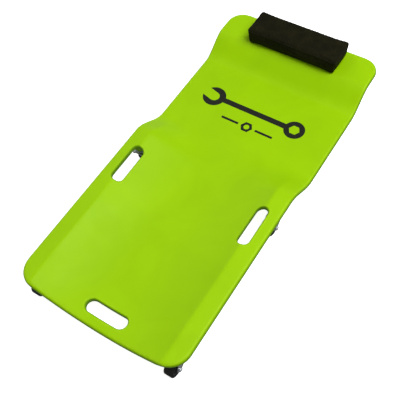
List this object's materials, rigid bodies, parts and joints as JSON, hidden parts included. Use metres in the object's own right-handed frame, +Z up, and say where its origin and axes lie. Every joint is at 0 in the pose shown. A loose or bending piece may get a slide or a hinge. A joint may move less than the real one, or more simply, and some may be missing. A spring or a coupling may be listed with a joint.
{
  "type": "mechanics creeper",
  "caption": "Low moulded-plastic mechanic's creeper with a dished bed, side rails with hand slots, a padded head rest and swivel casters.",
  "frame": {"origin": "on the floor, under the middle of the deck's length and width", "axes": "+Z up, +Y towards the head pad along the deck's length, +X to the right seen from above with the head pad away; left in a name is -X"},
  "size_m": [0.464, 1.013, 0.1368],
  "materials": {
    "deck_plastic": "lime green moulded polyethylene, satin to semi-gloss",
    "pad_vinyl": "near-black matt vinyl over foam, fine grain",
    "fibreboard": "pressed hardboard",
    "zinc_steel": "bright zinc plate",
    "spring_steel": "oiled spring steel",
    "hub_plastic": "dark grey moulded nylon",
    "tyre_rubber": "black hard rubber, slightly worn tread"
  },
  "bodies": {
    "frame_deck": {"deck": "deck_plastic", "head_pad": "pad_vinyl", "pad_board": "fibreboard", "pad_screw_1": "zinc_steel", "pad_screw_2": "zinc_steel", "pad_screw_3": "zinc_steel", "pad_screw_4": "zinc_steel", "foot_left_stem": "zinc_steel", "foot_left_grip_ring": "spring_steel", "foot_right_stem": "zinc_steel", "foot_right_grip_ring": "spring_steel", "middle_left_stem": "zinc_steel", "middle_left_grip_ring": "spring_steel", "middle_right_stem": "zinc_steel", "middle_right_grip_ring": "spring_steel", "head_left_stem": "zinc_steel", "head_left_grip_ring": "spring_steel", "head_right_stem": "zinc_steel", "head_right_grip_ring": "spring_steel"},
    "foot_left_swivel": {"foot_left_ball_cage": "spring_steel", "foot_left_fork": "zinc_steel", "foot_left_axle_bolt": "zinc_steel", "foot_left_axle_nut": "zinc_steel"},
    "foot_left_wheel": {"foot_left_wheel_hub": "hub_plastic", "foot_left_tyre": "tyre_rubber"},
    "foot_right_swivel": {"foot_right_ball_cage": "spring_steel", "foot_right_fork": "zinc_steel", "foot_right_axle_bolt": "zinc_steel", "foot_right_axle_nut": "zinc_steel"},
    "foot_right_wheel": {"foot_right_wheel_hub": "hub_plastic", "foot_right_tyre": "tyre_rubber"},
    "middle_left_swivel": {"middle_left_ball_cage": "spring_steel", "middle_left_fork": "zinc_steel", "middle_left_axle_bolt": "zinc_steel", "middle_left_axle_nut": "zinc_steel"},
    "middle_left_wheel": {"middle_left_wheel_hub": "hub_plastic", "middle_left_tyre": "tyre_rubber"},
    "middle_right_swivel": {"middle_right_ball_cage": "spring_steel", "middle_right_fork": "zinc_steel", "middle_right_axle_bolt": "zinc_steel", "middle_right_axle_nut": "zinc_steel"},
    "middle_right_wheel": {"middle_right_wheel_hub": "hub_plastic", "middle_right_tyre": "tyre_rubber"},
    "head_left_swivel": {"head_left_ball_cage": "spring_steel", "head_left_fork": "zinc_steel", "head_left_axle_bolt": "zinc_steel", "head_left_axle_nut": "zinc_steel"},
    "head_left_wheel": {"head_left_wheel_hub": "hub_plastic", "head_left_tyre": "tyre_rubber"},
    "head_right_swivel": {"head_right_ball_cage": "spring_steel", "head_right_fork": "zinc_steel", "head_right_axle_bolt": "zinc_steel", "head_right_axle_nut": "zinc_steel"},
    "head_right_wheel": {"head_right_wheel_hub": "hub_plastic", "head_right_tyre": "tyre_rubber"}
  },
  "joints": [
    {"name": "foot_left_turn", "type": "hinge", "parent": "frame_deck", "child": "foot_left_swivel", "pos_m": [-0.194, -0.4565, 0.058], "axis": [0, 0, 1], "continuous": true},
    {"name": "foot_left_roll", "type": "hinge", "parent": "foot_left_swivel", "child": "foot_left_wheel", "pos_m": [-0.194, -0.4755, 0.0254], "axis": [1, 0, 0], "continuous": true},
    {"name": "foot_right_turn", "type": "hinge", "parent": "frame_deck", "child": "foot_right_swivel", "pos_m": [0.194, -0.4565, 0.058], "axis": [0, 0, 1], "continuous": true},
    {"name": "foot_right_roll", "type": "hinge", "parent": "foot_right_swivel", "child": "foot_right_wheel", "pos_m": [0.194, -0.4755, 0.0254], "axis": [1, 0, 0], "continuous": true},
    {"name": "middle_left_turn", "type": "hinge", "parent": "frame_deck", "child": "middle_left_swivel", "pos_m": [-0.202, -0.0375, 0.058], "axis": [0, 0, 1], "continuous": true},
    {"name": "middle_left_roll", "type": "hinge", "parent": "middle_left_swivel", "child": "middle_left_wheel", "pos_m": [-0.202, -0.0185, 0.0254], "axis": [1, 0, 0], "continuous": true},
    {"name": "middle_right_turn", "type": "hinge", "parent": "frame_deck", "child": "middle_right_swivel", "pos_m": [0.202, -0.0375, 0.058], "axis": [0, 0, 1], "continuous": true},
    {"name": "middle_right_roll", "type": "hinge", "parent": "middle_right_swivel", "child": "middle_right_wheel", "pos_m": [0.202, -0.0565, 0.0254], "axis": [1, 0, 0], "continuous": true},
    {"name": "head_left_turn", "type": "hinge", "parent": "frame_deck", "child": "head_left_swivel", "pos_m": [-0.19, 0.4525, 0.058], "axis": [0, 0, 1], "continuous": true},
    {"name": "head_left_roll", "type": "hinge", "parent": "head_left_swivel", "child": "head_left_wheel", "pos_m": [-0.19, 0.4335, 0.0254], "axis": [1, 0, 0], "continuous": true},
    {"name": "head_right_turn", "type": "hinge", "parent": "frame_deck", "child": "head_right_swivel", "pos_m": [0.19, 0.4525, 0.058], "axis": [0, 0, 1], "continuous": true},
    {"name": "head_right_roll", "type": "hinge", "parent": "head_right_swivel", "child": "head_right_wheel", "pos_m": [0.19, 0.4335, 0.0254], "axis": [1, 0, 0], "continuous": true}
  ]
}
